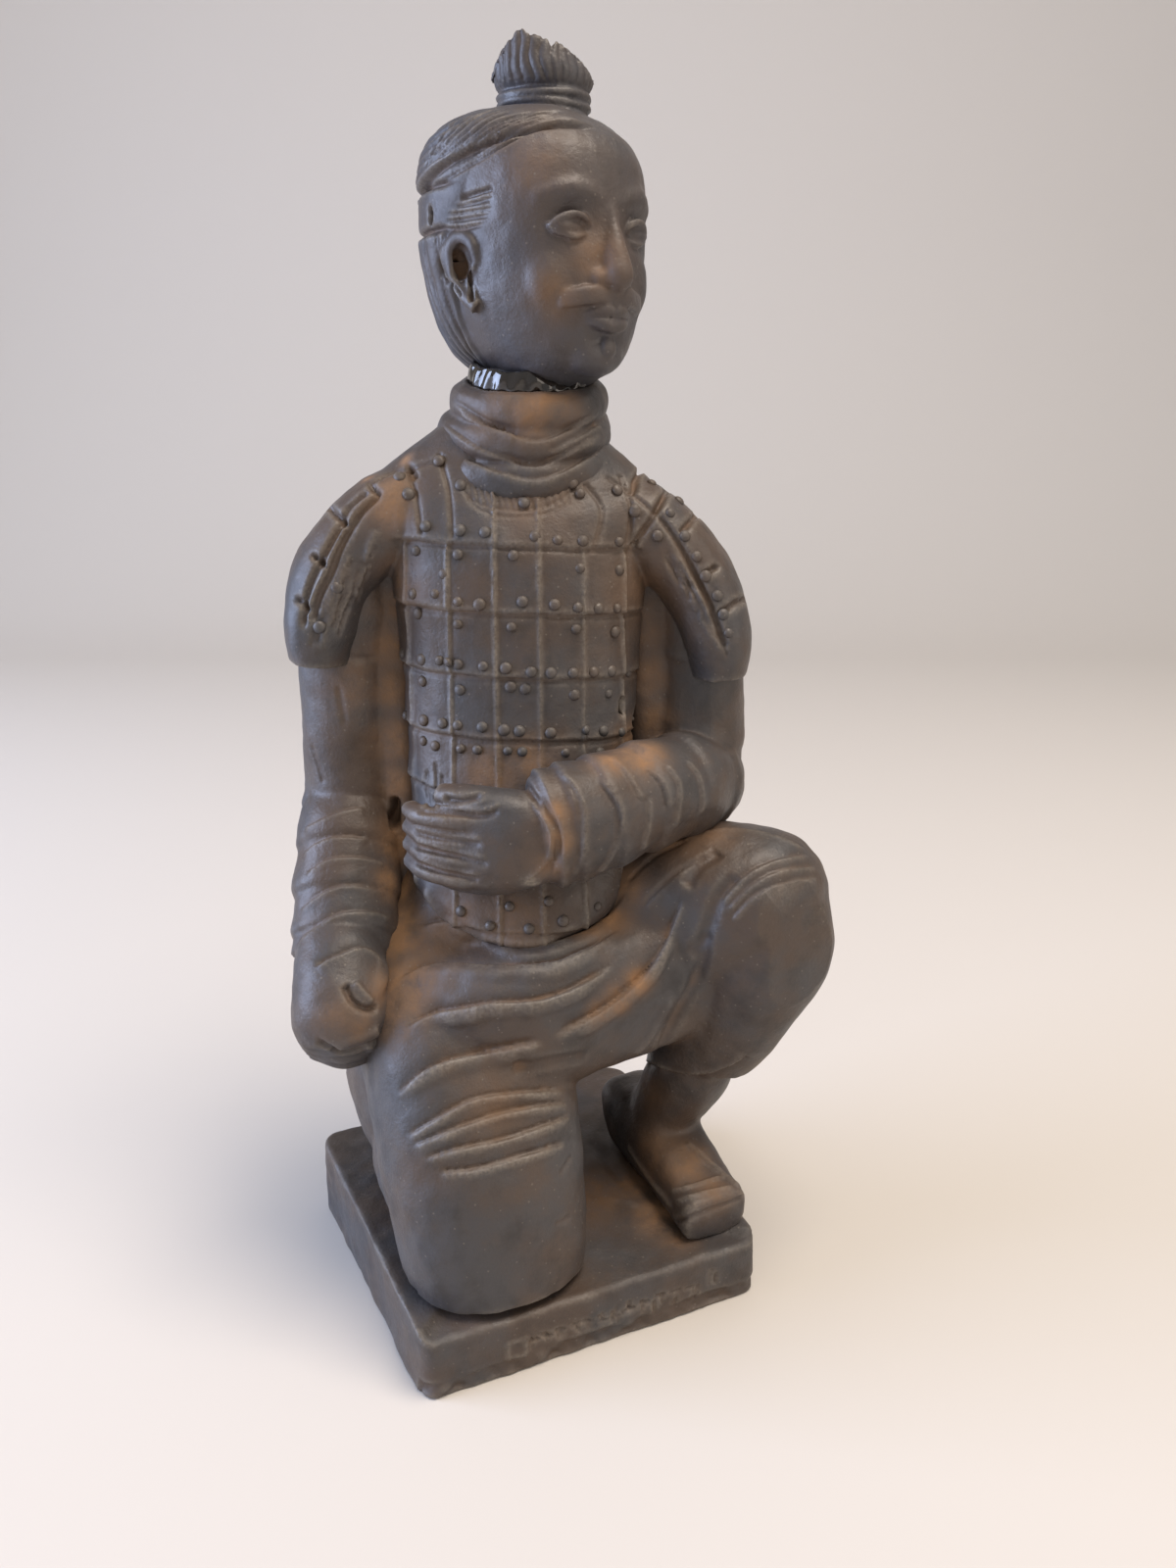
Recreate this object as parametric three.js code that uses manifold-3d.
// Kneeling archer statuette in grey earthenware: a robed and armoured figure cast in one with its
// plinth, a head made by itself, and the bead of glue that holds the head in the collar.
// Millimetres, +Z up. The plinth faces -Y, and the origin is the centre of its underside.
import * as THREE from "three";
import { mergeVertices } from "three/addons/utils/BufferGeometryUtils.js";
import Module from "manifold-3d";

const wasm = await Module();
wasm.setup();

// Plinth
const plinthWidth = 91; // along the front; the block widens a little towards the back
const plinthBackWidth = 96;
const plinthDepth = 88;
const plinthHeight = 22;
const plinthCorner = 4; // radius of the upright corners at the front
const plinthBackCorner = 6;
const plinthEdge = 2; // softening of the top edge
const frontFaceHeight = 15; // upright part of the front, below its slope
const frontSlopeRun = 11; // how far the slope reaches back
const trenchWidth = 6; // worn channel beside the standing foot
const trenchDepth = 3;

// Figure. Its pose and carving are shares of its height: m is a 278th of it, 1 mm at the real size.
const figureHeight = 278; // plinth top to the tip of the topknot
const m = figureHeight / 278;
const figureSet = 8; // how far back from the plinth's middle the figure's own middle stands
const torsoTurn = -22.2; // degrees about Z: the chest faces a little to its own right
const torsoPlace = [4.6 * m, 5.6 * m]; // trunk's axis from the figure's middle
const shoulderSlope = 0.045; // fall of the shoulders and the rows of plates towards the left arm

// Neck joint: the head's stub stands in a round mouth in the collar, and glue fills the gap.
const jointPlace = [3 * m, -2 * m, 206 * m]; // centre of the mouth's rim in the torso's frame
const jointTilt = 13; // degrees that the rim dips forwards
const neckRadius = 11.5 * m;
const mouthRadius = neckRadius + 3 * m;
const mouthDepth = 5 * m;
const seat = 0.3; // clearance between the head, the glue and the collar
const beadRise = 1.6 * m; // height of the glue above the rim
const headClearance = 2 * m; // height over the rim at which the jaw and the hair end
const stubRise = 8 * m; // how far the stub runs up inside the head

// Head
const faceTurn = 38; // degrees from the chest's facing to the face's
const headShift = [1.5 * m, -1.3 * m]; // of the head's middle from the joint's, in the head's frame

const reach = 4 * figureHeight; // edge of a box that takes in the whole object
const rad = THREE.MathUtils.degToRad;
const vec = ([x, y, z]) => new THREE.Vector3(x, y, z);

// A closed skin over a stack of rings with equal numbers of points, each end drawn to its middle.
function skin(rings) {
  const sides = rings[0].length;
  const middle = (ring) => ring.reduce((sum, p) => sum.add(p), new THREE.Vector3()).divideScalar(sides);
  const points = [...rings.flat(), middle(rings[0]), middle(rings.at(-1))];
  const first = points.length - 2;
  const top = (rings.length - 1) * sides;
  const faces = [];
  for (let i = 0; i < sides; i++) {
    const j = (i + 1) % sides;
    for (let k = 0; k < top; k += sides) {
      faces.push(k + i, k + j, k + sides + j, k + i, k + sides + j, k + sides + i);
    }
    faces.push(first, j, i, first + 1, top + i, top + j);
  }
  const geometry = new THREE.BufferGeometry().setFromPoints(points);
  return geometry.setIndex(faces);
}

// One ring: an oval with half-widths a and b along the directions u and w. Above 2, power squares it.
function oval(centre, u, w, a, b, sides, power = 2, ripple = () => 0) {
  return Array.from({ length: sides }, (_, i) => {
    const angle = (2 * Math.PI * i) / sides;
    const [c, s] = [Math.cos(angle), Math.sin(angle)];
    const reach = (Math.abs(c) ** power + Math.abs(s) ** power) ** (-1 / power) + ripple(angle);
    return centre.clone().addScaledVector(u, a * c * reach).addScaledVector(w, b * s * reach);
  });
}

// Values between rows of numbers, on a smooth curve through the rows. t runs from 0 to 1.
function along(rows, t) {
  const place = t * (rows.length - 1);
  const k = Math.min(Math.floor(place), rows.length - 2);
  const [p, q, r, s] = [-1, 0, 1, 2].map((d) => rows[THREE.MathUtils.clamp(k + d, 0, rows.length - 1)]);
  const f = place - k;
  return q.map((_, i) => {
    const slopeIn = (r[i] - p[i]) / 2;
    const slopeOut = (s[i] - q[i]) / 2;
    const [f2, f3] = [f * f, f * f * f];
    return (
      (2 * f3 - 3 * f2 + 1) * q[i] + (f3 - 2 * f2 + f) * slopeIn +
      (3 * f2 - 2 * f3) * r[i] + (f3 - f2) * slopeOut
    );
  });
}

// A limb or roll of cloth through rows of [x, y, z, half-width, half-depth], in m. Half-widths lie
// along side. Each of its folds swells towards its end and drops back, as bunched cloth does.
function limb(
  rows,
  { side = [1, 0, 0], sides = 10, steps = 5, folds = 0, foldDepth = 0.05, power = 2 } = {},
) {
  const stops = [];
  const count = folds || steps;
  for (let i = 0; i < count; i++) {
    if (folds) {
      stops.push([(i + 0.05) / count, -foldDepth], [(i + 0.9) / count, foldDepth]);
    } else {
      stops.push([i / count, 0]);
    }
  }
  stops.push([1, 0]);
  const rings = stops.map(([t, swell]) => {
    const [x, y, z, a, b] = along(rows, t);
    const before = vec(along(rows, Math.max(t - 0.01, 0)));
    const tangent = vec(along(rows, Math.min(t + 0.01, 1))).sub(before).normalize();
    const u = vec(side).addScaledVector(tangent, -tangent.dot(vec(side))).normalize();
    const w = tangent.clone().cross(u);
    const grow = m * (1 + swell);
    return oval(new THREE.Vector3(x, y, z).multiplyScalar(m), u, w, a * grow, b * grow, sides, power);
  });
  return skin(rings);
}

// A body built up of level rings, from rows of [z, x, y, half-width, half-depth], in m.
function tiers(rows, { sides = 20, power = 2.3, steps = 0, ripple } = {}) {
  const levels = steps ? Array.from({ length: steps + 1 }, (_, i) => along(rows, i / steps)) : rows;
  const [x, y] = [new THREE.Vector3(1, 0, 0), new THREE.Vector3(0, 1, 0)];
  return skin(
    levels.map(([z, cx, cy, a, b]) =>
      oval(new THREE.Vector3(cx, cy, z).multiplyScalar(m), x, y, a * m, b * m, sides, power, ripple),
    ),
  );
}

// A ball stretched to half-sizes [x, y, z] about a point, in m.
function lump([x, y, z], [a, b, c], across = 12, up = 8) {
  const ball = new THREE.SphereGeometry(m, across, up).rotateX(Math.PI / 2);
  return ball.scale(a, b, c).translate(x * m, y * m, z * m);
}

// A three.js geometry as a solid to join and cut, and a solid as a geometry again.
function solid(geometry) {
  const bare = new THREE.BufferGeometry().setAttribute("position", geometry.getAttribute("position").clone());
  const merged = mergeVertices(bare.setIndex(geometry.index), 1e-4);
  const corners = merged.index.array;
  const kept = [];
  for (let i = 0; i < corners.length; i += 3) {
    const [a, b, c] = corners.slice(i, i + 3);
    if (a !== b && b !== c && c !== a) kept.push(a, b, c);
  }
  const vertProperties = merged.attributes.position.array;
  return new wasm.Manifold(new wasm.Mesh({ numProp: 3, vertProperties, triVerts: new Uint32Array(kept) }));
}

function geometryOf(made) {
  const mesh = made.getMesh();
  const positions = new THREE.BufferAttribute(new Float32Array(mesh.vertProperties), mesh.numProp);
  const geometry = new THREE.BufferGeometry().setAttribute("position", positions);
  geometry.setIndex([...mesh.triVerts]);
  geometry.computeVertexNormals();
  return geometry;
}

const joined = (geometries) => geometries.map(solid).reduce((whole, next) => whole.add(next));
const placed = (geometries, matrix) => geometries.map((geometry) => geometry.applyMatrix4(matrix));

// Frames: the torso turns about its axis, the joint tilts in the torso, the head turns on it.
const moved = (x, y, z) => new THREE.Matrix4().makeTranslation(x, y, z);
const onPlinth = moved(0, figureSet, plinthHeight);
const torsoFrame = onPlinth
  .clone()
  .multiply(moved(...torsoPlace, 0))
  .multiply(new THREE.Matrix4().makeRotationZ(rad(torsoTurn)));
const armourFrame = torsoFrame.clone().multiply(new THREE.Matrix4().makeShear(0, -shoulderSlope, 0, 0, 0, 0));
const jointMiddle = torsoFrame.clone().multiply(moved(...jointPlace));
const jointFrame = jointMiddle.clone().multiply(new THREE.Matrix4().makeRotationX(rad(jointTilt)));
const headFrame = jointMiddle
  .clone()
  .multiply(new THREE.Matrix4().makeRotationZ(rad(faceTurn)))
  .multiply(moved(...headShift, 0));

// The slab, its front sloped above the upright face that carries the inscription.
function plinth() {
  const [w, wide, d] = [plinthWidth, plinthBackWidth, plinthDepth].map((size) => size / 2 - plinthEdge);
  const [front, back] = [plinthCorner - plinthEdge, plinthBackCorner - plinthEdge];
  const outline = new THREE.Shape();
  outline.absarc(w - front, front - d, front, -Math.PI / 2, 0);
  outline.absarc(wide - back, d - back, back, 0, Math.PI / 2);
  outline.absarc(back - wide, d - back, back, Math.PI / 2, Math.PI);
  outline.absarc(front - w, front - d, front, Math.PI, 1.5 * Math.PI);
  const slab = new THREE.ExtrudeGeometry(outline, {
    depth: plinthHeight - plinthEdge, curveSegments: 4,
    bevelThickness: plinthEdge, bevelSize: plinthEdge, bevelSegments: 2,
  });
  const under = new THREE.BoxGeometry(plinthWidth * 2, plinthDepth * 2, plinthHeight);
  under.translate(0, 0, -plinthHeight / 2); // the lower bevel goes, so the underside is flat
  const wedge = new THREE.Shape([
    new THREE.Vector2(-frontSlopeRun, frontFaceHeight - (plinthHeight - frontFaceHeight)),
    new THREE.Vector2(frontSlopeRun, plinthHeight),
    new THREE.Vector2(frontSlopeRun, plinthHeight * 2),
    new THREE.Vector2(-frontSlopeRun, plinthHeight * 2),
  ]);
  const slope = new THREE.ExtrudeGeometry(wedge, { depth: plinthWidth * 2, bevelEnabled: false });
  slope.rotateX(Math.PI / 2).rotateZ(Math.PI / 2).translate(-plinthWidth, -plinthDepth / 2, 0);
  return solid(slab).subtract(solid(under)).subtract(solid(slope));
}

// The leg that kneels: a broad thigh down to the knee, and the calf and the upturned foot behind it.
function kneelingLeg() {
  const thigh = limb(
    [
      [-17, 12, 62, 23, 24], [-20, -5, 55, 25, 23], [-21, -19, 43, 25, 21.5], [-21.5, -28, 27, 24.5, 20.5],
      [-21, -32, 10, 23.5, 20], [-20.5, -32, 0, 22.6, 19.8], [-20.5, -32, -4, 22.4, 19.6],
    ],
    { sides: 14, steps: 7, power: 2.5 },
  );
  const calf = limb(
    [
      [-22, -28, 13, 21, 14], [-22, -8, 13, 21, 14.5], [-20, 8, 13, 18, 14], [-18, 20, 13, 14, 12],
      [-17, 27, 13, 10, 9],
    ],
    { steps: 3, power: 2.4 },
  );
  const foot = limb(
    [
      [-17, 25, 38, 8, 7], [-17, 27, 30, 10, 7.5], [-17, 28, 14, 11, 5.5], [-18, 27, 4, 12.5, 6],
      [-18, 25.5, -2, 12.5, 6.5],
    ],
    { steps: 4, power: 2.6 },
  );
  // Cloth bunched over the knee, in ridges that rise towards the inner side.
  const bunches = Array.from({ length: 4 }, (_, i) =>
    limb(
      [
        [-39 + i, -36 - 1.5 * i, 39 - 3.6 * i, 1.2, 1.2], [-27, -42.6 - 1.5 * i, 42.5 - 3.6 * i, 2, 2],
        [-13, -41.6 - 1.8 * i, 44.5 - 3.6 * i, 2, 2], [-4, -36.4 - 2 * i, 45 - 3.6 * i, 1.2, 1.2],
      ],
      { side: [0, 0, 1], sides: 4, steps: 4 },
    ),
  );
  return [thigh, calf, foot, ...bunches];
}

// The leg that stands: thigh under the robe, knee out to the side, trousered shin, square-toed shoe.
function standingLeg() {
  const thigh = limb(
    [
      [12, 8, 62, 24, 25], [24, -8, 68, 22, 27], [38, -24, 77, 20, 23.5], [49, -36, 82, 18.5, 19],
      [55.5, -43, 81, 15.5, 15.5], [59.5, -48, 79, 8, 8],
    ],
    { side: [0.6, 0.6, 0], sides: 12, steps: 6, power: 2.2 },
  );
  const shin = limb(
    [
      [51, -38, 84, 16, 15], [51.5, -38, 70, 17.5, 16.5], [47, -32, 52, 15.5, 15],
      [42.5, -25.5, 38.5, 14, 13.5], [42, -25, 36, 13.5, 13],
    ],
    { side: [0.8, -0.6, 0], sides: 12, steps: 6 },
  );
  const ankle = limb(
    [[42, -27, 40, 11, 11], [40, -22, 28, 11, 11], [37, -17, 17, 9.5, 10], [36, -15, 8, 9.5, 11]],
    { side: [0.8, -0.6, 0], steps: 3 },
  );
  const shoe = limb(
    [
      [35, 4, 5, 7, 7], [35, -2, 7.5, 9.5, 10.5], [35.5, -14, 7, 9.8, 10.5],
      [35.5, -26, 4.5, 9.6, 8.5], [35.5, -38, 1.8, 9.3, 7.2], [35.5, -47, 0.6, 9.2, 6.9],
    ],
    { sides: 12, steps: 5, power: 3.6 },
  );
  return [thigh, shin, ankle, shoe];
}

// The robe below the belt: hips and seat, the lap stretched between the thighs, and its long folds.
function robe() {
  const hips = tiers(
    [
      [12, -18, 8, 23, 22], [26, -15, 9, 29, 25], [40, -9, 9, 35, 27], [54, -4, 8, 38.5, 28.5],
      [68, 0, 7, 38.5, 28.5], [80, 3, 6, 34, 27], [92, 5, 6, 29, 24],
    ],
    { sides: 14, steps: 5 },
  );
  const lap = limb(
    [
      [-33, -8, 55, 13, 15], [-12, -18, 57, 21.5, 19], [8, -19.5, 59.5, 20.5, 18.5],
      [22, -21, 62, 19.5, 19], [37, -25, 67, 17, 19],
    ],
    { side: [0, 1, 0], sides: 12, steps: 4, power: 3.2 },
  );
  // Long folds that leave the hip on the kneeling side and are drawn up to the standing knee.
  const routes = [
    [[-38, -14, 82], [-23, -27, 80], [-6, -32, 74], [8, -34, 75], [18, -34, 79], [28, -34, 87]],
    [[-40, -14, 72], [-29, -28, 75], [-7, -37, 73], [8, -38, 74], [17, -39, 77]],
    [[-41, -17, 61], [-31, -31, 64], [-17, -38, 66], [4, -41, 70], [17, -41, 77]],
    [[-8, -39, 60], [6, -41, 62], [17, -42, 70], [28, -42, 79], [34, -43, 88]],
    [[-43, -22, 45], [-33, -33, 53], [-18, -39, 57], [0, -41, 57], [14, -42, 61], [28, -43, 72]],
    [[-8, -38, 47], [6, -38.5, 45.5], [18, -36.5, 48.5], [28, -34, 56]],
  ];
  const folds = routes.map((route) => {
    const last = route.length - 1;
    const rows = route.map((p, i) => [...p, ...Array(2).fill(i === 0 || i === last ? 1.2 : 2.7)]);
    return limb(rows, { side: [0, 0, 1], sides: 4, steps: 6 });
  });
  return [hips, lap, ...folds];
}

// The armoured trunk in the torso's frame. Each course of plates laps over the one below it.
function armour() {
  const lap = 0.9;
  const girth = [
    [86, 0, -4, 28.6, 29.5], [98, 0, -2, 28.4, 27.5], [111, 0, -1, 28.4, 26], [124.5, 0, 0, 29, 25],
    [139.5, 0, 0, 29.5, 25], [154.5, 0, 0, 31, 25], [169.5, 0, 0, 33, 23],
  ];
  const rows = girth.flatMap(([z, x, y, a, b], i) => {
    const ring = [[z - 0.5, x, y, a, b]];
    if (i > 0) ring.push([z + 0.5, x, y, a + lap, b + lap]);
    return ring;
  });
  const shoulders = [
    [176, 0, 0, 36, 20.5], [183, 0, 1, 33.5, 18], [189, 0, 1.5, 27, 16.5], [195, 0, 1.5, 19, 15],
  ];
  const trunk = tiers([...rows, ...shoulders], { sides: 14, power: 2.4 });
  // Below the waist the front plates run out to a round hem over the lap.
  const apron = tiers(
    [
      [75, 0, -18, 7, 18.5], [78, 0, -17, 17, 19.5], [82, 0, -15, 24, 20.5], [88, 0, -12, 28.8, 21],
      [97, 0, -8, 29, 20.5],
    ],
    { power: 2.2 },
  );
  return [trunk, apron];
}

// Arm and shoulder guard, in the torso's frame. hand is -1 for the right arm and 1 for the left.
function shoulderGuard(hand) {
  const outwards = ([x, ...rest]) => [hand * x, ...rest];
  const side = [hand * 0.8, 0, 0.6];
  return limb(
    [
      [21, 0, 178, 9, 15], [30, 0, 174, 10.5, 17], [38.7, 0, 166.7, 10.5, 18],
      [45, -1, 158, 10, 18.5], [48, -1.5, 147.5, 9.2, 18.5], [48.7, -1.5, 139, 7.5, 17.5],
    ].map(outwards),
    { side, sides: 12, steps: 5, power: 2.7 },
  );
}

function rightArm() {
  const upper = limb(
    [
      [-37, 1, 164, 8, 11], [-41, 1, 156, 12, 13], [-43.3, 2, 140, 12.3, 13.5], [-43.5, 3, 116, 12.6, 14],
      [-43.5, 2, 103, 12.5, 13.5], [-43.5, 1, 95, 8, 9],
    ],
    { steps: 6 },
  );
  const web = limb([[-31, 3, 160, 6, 11], [-31, 3, 128, 5, 11], [-28, 1, 82, 6, 10]], { sides: 6, steps: 2 });
  const fore = limb(
    [
      [-44, 7, 106, 12, 12], [-44.3, -2, 98, 13, 14], [-44.5, -12, 86, 13.3, 14], [-44.5, -21, 75, 13, 13],
      [-44.5, -25, 70, 12.5, 12],
    ],
    { folds: 6, foldDepth: 0.035 },
  );
  const fist = limb(
    [
      [-44.5, -22, 76, 8, 8.5], [-44.5, -28, 70, 10.5, 12], [-44, -34, 62, 12, 14.5],
      [-44, -38.5, 56, 11, 12.5], [-44, -41.5, 52.5, 7, 8],
    ],
    { sides: 10, steps: 4, power: 2.3 },
  );
  const fingers = Array.from({ length: 4 }, (_, i) =>
    limb(
      [
        [-51, -44.5 + 3 * i, 56.5 - 2.2 * i, 2.4, 2.4], [-43, -47 + 2.6 * i, 58 - 3 * i, 2.9, 2.9],
        [-34, -44 + 2.8 * i, 60 - 3 * i, 2.6, 2.6],
      ],
      { side: [0, 0, 1], sides: 6, steps: 3 },
    ),
  );
  const thumb = limb(
    [
      [-37, -31, 73, 3, 3], [-35.5, -39, 69, 3, 3], [-38.5, -45, 62, 2.6, 2.6],
    ],
    { sides: 6, steps: 3 },
  );
  return [upper, web, fore, fist, ...fingers, thumb];
}

function leftArm() {
  const upper = limb(
    [
      [42, 1, 158, 11, 13], [44.3, 1, 140, 12.3, 14], [44.6, 0, 116, 12.4, 15], [44, -1, 104, 12, 14],
      [42, -3, 97, 8, 9],
    ],
    { folds: 4, foldDepth: 0.03 },
  );
  const web = limb([[32, 3, 160, 6, 12], [32, 3, 100, 6, 12]], { sides: 6, steps: 1 });
  const fore = limb(
    [
      [49, -2, 108, 11, 10], [41.5, -13, 110, 13, 12], [28.5, -26, 110.5, 13.5, 12],
      [15.5, -33, 108, 14, 12], [4.5, -36, 106, 14.5, 12],
    ],
    { side: [0, 0, 1], folds: 7, foldDepth: 0.03 },
  );
  const palm = limb(
    [
      [9, -37, 105, 9, 6], [3, -38, 104.5, 11, 7], [-6, -38, 103, 12, 7], [-13, -36, 102, 11, 6],
      [-19, -33.5, 102, 9.5, 5],
    ],
    { side: [0, 0, 1], sides: 10, steps: 5, power: 2.4 },
  );
  const fingers = Array.from({ length: 4 }, (_, i) =>
    limb(
      [
        [-7, -41, 109.5 - 4.6 * i, 2.5, 3], [-16, -39.2, 109.6 - 4.5 * i, 2.5, 3],
        [-23, -35, 109.6 - 4.3 * i, 2.4, 2.8], [-26.5, -29, 109.6 - 4.2 * i, 2.1, 2.4],
      ],
      { side: [0, 0, 1], sides: 6, steps: 3 },
    ),
  );
  const thumb = limb(
    [[0, -38, 114, 3.4, 4], [-7, -35.5, 117, 3, 3.6], [-15, -32.5, 119, 2.4, 3]],
    { side: [0, 0, 1], sides: 6, steps: 3 },
  );
  return [upper, web, fore, palm, ...fingers, thumb];
}

// The scarf, in the joint's frame: stacked rolls round the neck, lower and wider towards the chest.
function scarf() {
  const rolls = [
    [-19, -2, -1, 22.5, 21.5], [-11.5, -1.2, 0, 20.8, 20], [-4.5, 0, 0, 18.8, 18.4],
  ].map(([level, x, y, a, b]) =>
    tiers(
      [
        [-4.5, 2.8], [-1.8, 0], [1.8, 0], [4.3, 3.2],
      ].map(([z, inset]) => [level + z, x, y, a - inset, b - inset]),
      { sides: 12, power: 2.1 },
    ),
  );
  const lip = tiers(
    [
      [-24, 0, 0, 18, 17], [-10, 0, 0, 17.6, 17.4], [-1, 0, 0, 16.8, 16.8], [0, 0, 0, 15.8, 15.8],
    ],
    { sides: 12, power: 2 },
  );
  return [...rolls, lip];
}

// The head in its own frame: the face looks along -Y, and z runs up from the neck joint.
const faceMiddle = 1.5; // x of the face's own centre line, in m
function skull() {
  const x = (v) => faceMiddle + v;
  const head = tiers(
    [
      [-6, x(-0.5), 2, 9.5, 9.5], [-1, x(-0.5), -1, 10, 11.5], [3, x(0), -3.5, 13.5, 17],
      [9, x(0), -2, 17.8, 21], [17, x(0), -0.5, 20.5, 23.3], [27, x(0), 0, 22, 24.5],
      [37, x(0), 0.5, 22.6, 25], [46, x(0), 1, 21.5, 23.8], [52.5, x(0), 2.5, 17.5, 19.5],
      [57, x(0), 4, 10, 12],
    ],
    { sides: 16, power: 2.15, steps: 8 },
  );
  const nose = limb(
    [
      [x(0), -23.5, 33, 2, 2], [x(0), -25.2, 26, 2.6, 3], [x(0), -26.2, 20.5, 3.9, 3.6],
      [x(0), -24.5, 18, 3.2, 2.4],
    ],
    { sides: 6, steps: 4 },
  );
  const lips = limb(
    [[x(-5.5), -22, 11.6, 1.2, 1.2], [x(0), -24, 11.6, 2.4, 1.9], [x(5.5), -22, 11.6, 1.2, 1.2]],
    { side: [0, 0, 1], sides: 6, steps: 4 },
  );
  const chin = lump([x(0), -18.6, 4.6], [6, 4.4, 4.2], 8, 6);
  const paired = [-1, 1].flatMap((hand) => [
    limb(
      [
        [x(hand * 2.5), -24.2, 33.6, 2, 1.6], [x(hand * 9), -22.8, 35.6, 2.2, 1.7],
        [x(hand * 15.5), -18.2, 33.6, 1.5, 1.4],
      ],
      { side: [0, 0, 1], sides: 6, steps: 3 },
    ),
    lump([x(hand * 8.8), -21.4, 29.6], [4.3, 2.2, 2], 8, 6),
    limb(
      [
        [x(hand * 1), -25, 16, 1.9, 1.6], [x(hand * 6), -23.4, 15.6, 2.2, 1.7],
        [x(hand * 11.5), -20.2, 15, 1.7, 1.5],
      ],
      { side: [0, 0, 1], sides: 6, steps: 3 },
    ),
    limb(
      [
        [x(hand * 21.2), 1, 34, 2, 3], [x(hand * 23), 2.5, 30, 2.2, 4.2], [x(hand * 22.2), 0.5, 22, 2, 3.2],
        [x(hand * 20), -1.5, 18, 1.6, 2],
      ],
      { sides: 6, steps: 3 },
    ),
  ]);
  return [head, nose, lips, chin, ...paired];
}

// Combed hair: a ridged cap over the skull, drawn up into a bound topknot that flares to one side.
function hair() {
  const locks = 10;
  const cap = tiers(
    [
      [2, 1.5, 10, 8, 8.5], [8, 1.5, 8.5, 16, 15.5], [18, 1.5, 8, 21, 18.5], [30, 1.5, 7.5, 23.6, 20.5],
      [40, 1.5, 6, 24, 22.5], [47.5, 1.5, 4.5, 22.8, 23], [52, 1.5, 4, 19.5, 20.5], [55, 2, 4, 14, 15.5],
      [56.5, 2, 4, 7, 8],
    ],
    { sides: 2 * locks, power: 2.1, ripple: (angle) => 0.018 * Math.cos(locks * angle) },
  );
  const [x, y] = [5.3, 3]; // middle of the topknot
  const bands = [53, 55.8, 58.6].flatMap((z) => [
    [z, x, y, 9.2, 9], [z + 0.6, x, y, 10.2, 10], [z + 2.1, x, y, 10.2, 10],
  ]);
  const flare = [
    [61.4, x, y, 9.2, 9], [62.8, x, y, 10.8, 10.4], [65.2, x - 0.3, y, 10.8, 10.4], [67.8, x - 1.6, y + 0.8, 8.8, 8.8],
    [70.4, x - 3.2, y + 1.8, 6, 6.4], [72, x - 4, y + 2.4, 3, 3.6],
  ];
  const strands = 6;
  const knot = tiers([...bands, ...flare], {
    sides: 2 * strands, power: 2.2, ripple: (angle) => 0.02 * Math.cos(strands * angle),
  });
  return [cap, knot];
}

// The figure and its plinth in one. Cut into them are the worn channel beside the standing foot, the
// two dark gaps between the arms and the trunk, and the mouth in the collar.
function figureAndPlinth() {
  const lower = placed([...kneelingLeg(), ...standingLeg(), ...robe()], onPlinth);
  const trunk = placed([...armour(), shoulderGuard(-1), shoulderGuard(1)], armourFrame);
  const arms = placed([...rightArm(), ...leftArm()], torsoFrame);
  const collar = placed(scarf(), jointFrame);
  const channel = limb(
    [-46, 2].map((y) => [23, y, 0, trenchWidth / (2 * m), trenchDepth / m]),
    { sides: 8, steps: 1 },
  );
  const gaps = [lump([-32.5, -14, 98.5], [2.6, 12, 6], 8, 6), lump([30, -14, 119], [2.2, 10, 6.5], 8, 6)];
  const mouth = new THREE.CylinderGeometry(mouthRadius, mouthRadius, 2 * mouthDepth, 16);
  mouth.rotateX(Math.PI / 2);
  // The knee and the toe run down to the plinth's sloped front, and the slab holds what reaches deeper.
  const above = new THREE.BoxGeometry(reach, reach, reach).translate(0, 0, reach / 2 + frontFaceHeight);
  const figure = joined([...lower, ...trunk, ...arms, ...collar]).intersect(solid(above));
  return plinth()
    .subtract(joined(placed([channel], onPlinth)))
    .add(figure)
    .subtract(joined(placed(gaps, torsoFrame)))
    .subtract(joined(placed([mouth], jointFrame)));
}

// The head with its stub, which ends just above the floor of the collar's mouth.
function headWithStub() {
  const [low, high] = [seat - mouthDepth, stubRise];
  const stub = new THREE.CylinderGeometry(neckRadius, neckRadius, high - low, 16);
  stub.rotateX(Math.PI / 2).translate(0, 0, (high + low) / 2);
  const below = new THREE.BoxGeometry(reach, reach, reach).translate(0, 0, headClearance - reach / 2);
  const [bare] = placed([below], jointFrame);
  return joined(placed([...skull(), ...hair()], headFrame))
    .subtract(solid(bare))
    .add(solid(stub.applyMatrix4(jointFrame)));
}

// The bead: glue fills the mouth round the stub and swells above the rim.
function glueBead() {
  const [inner, outer] = [neckRadius + seat, mouthRadius - seat];
  const floor = seat - mouthDepth;
  const middle = (inner + outer) / 2;
  const profile = [
    [inner, floor], [outer, floor], [outer, 0], [outer - seat, beadRise * 0.7],
    [middle, beadRise], [inner + seat, beadRise * 0.8], [inner, floor],
  ].map(([r, z]) => new THREE.Vector2(r, z));
  return solid(new THREE.LatheGeometry(profile, 16).rotateX(Math.PI / 2).applyMatrix4(jointFrame));
}

const clay = new THREE.MeshStandardMaterial({ color: 0x4b4845, roughness: 0.72, metalness: 0 });
const headClay = new THREE.MeshStandardMaterial({ color: 0x4e4d4f, roughness: 0.7, metalness: 0 });
const glue = new THREE.MeshStandardMaterial({ color: 0x14110f, roughness: 0.08, metalness: 0 });

const statuette = new THREE.Group();
for (const [name, made, material] of [
  ["figure_with_plinth", figureAndPlinth(), clay],
  ["head", headWithStub(), headClay],
  ["glue_bead", glueBead(), glue],
]) {
  const mesh = new THREE.Mesh(geometryOf(made), material);
  mesh.name = name;
  statuette.add(mesh);
}

export default statuette;
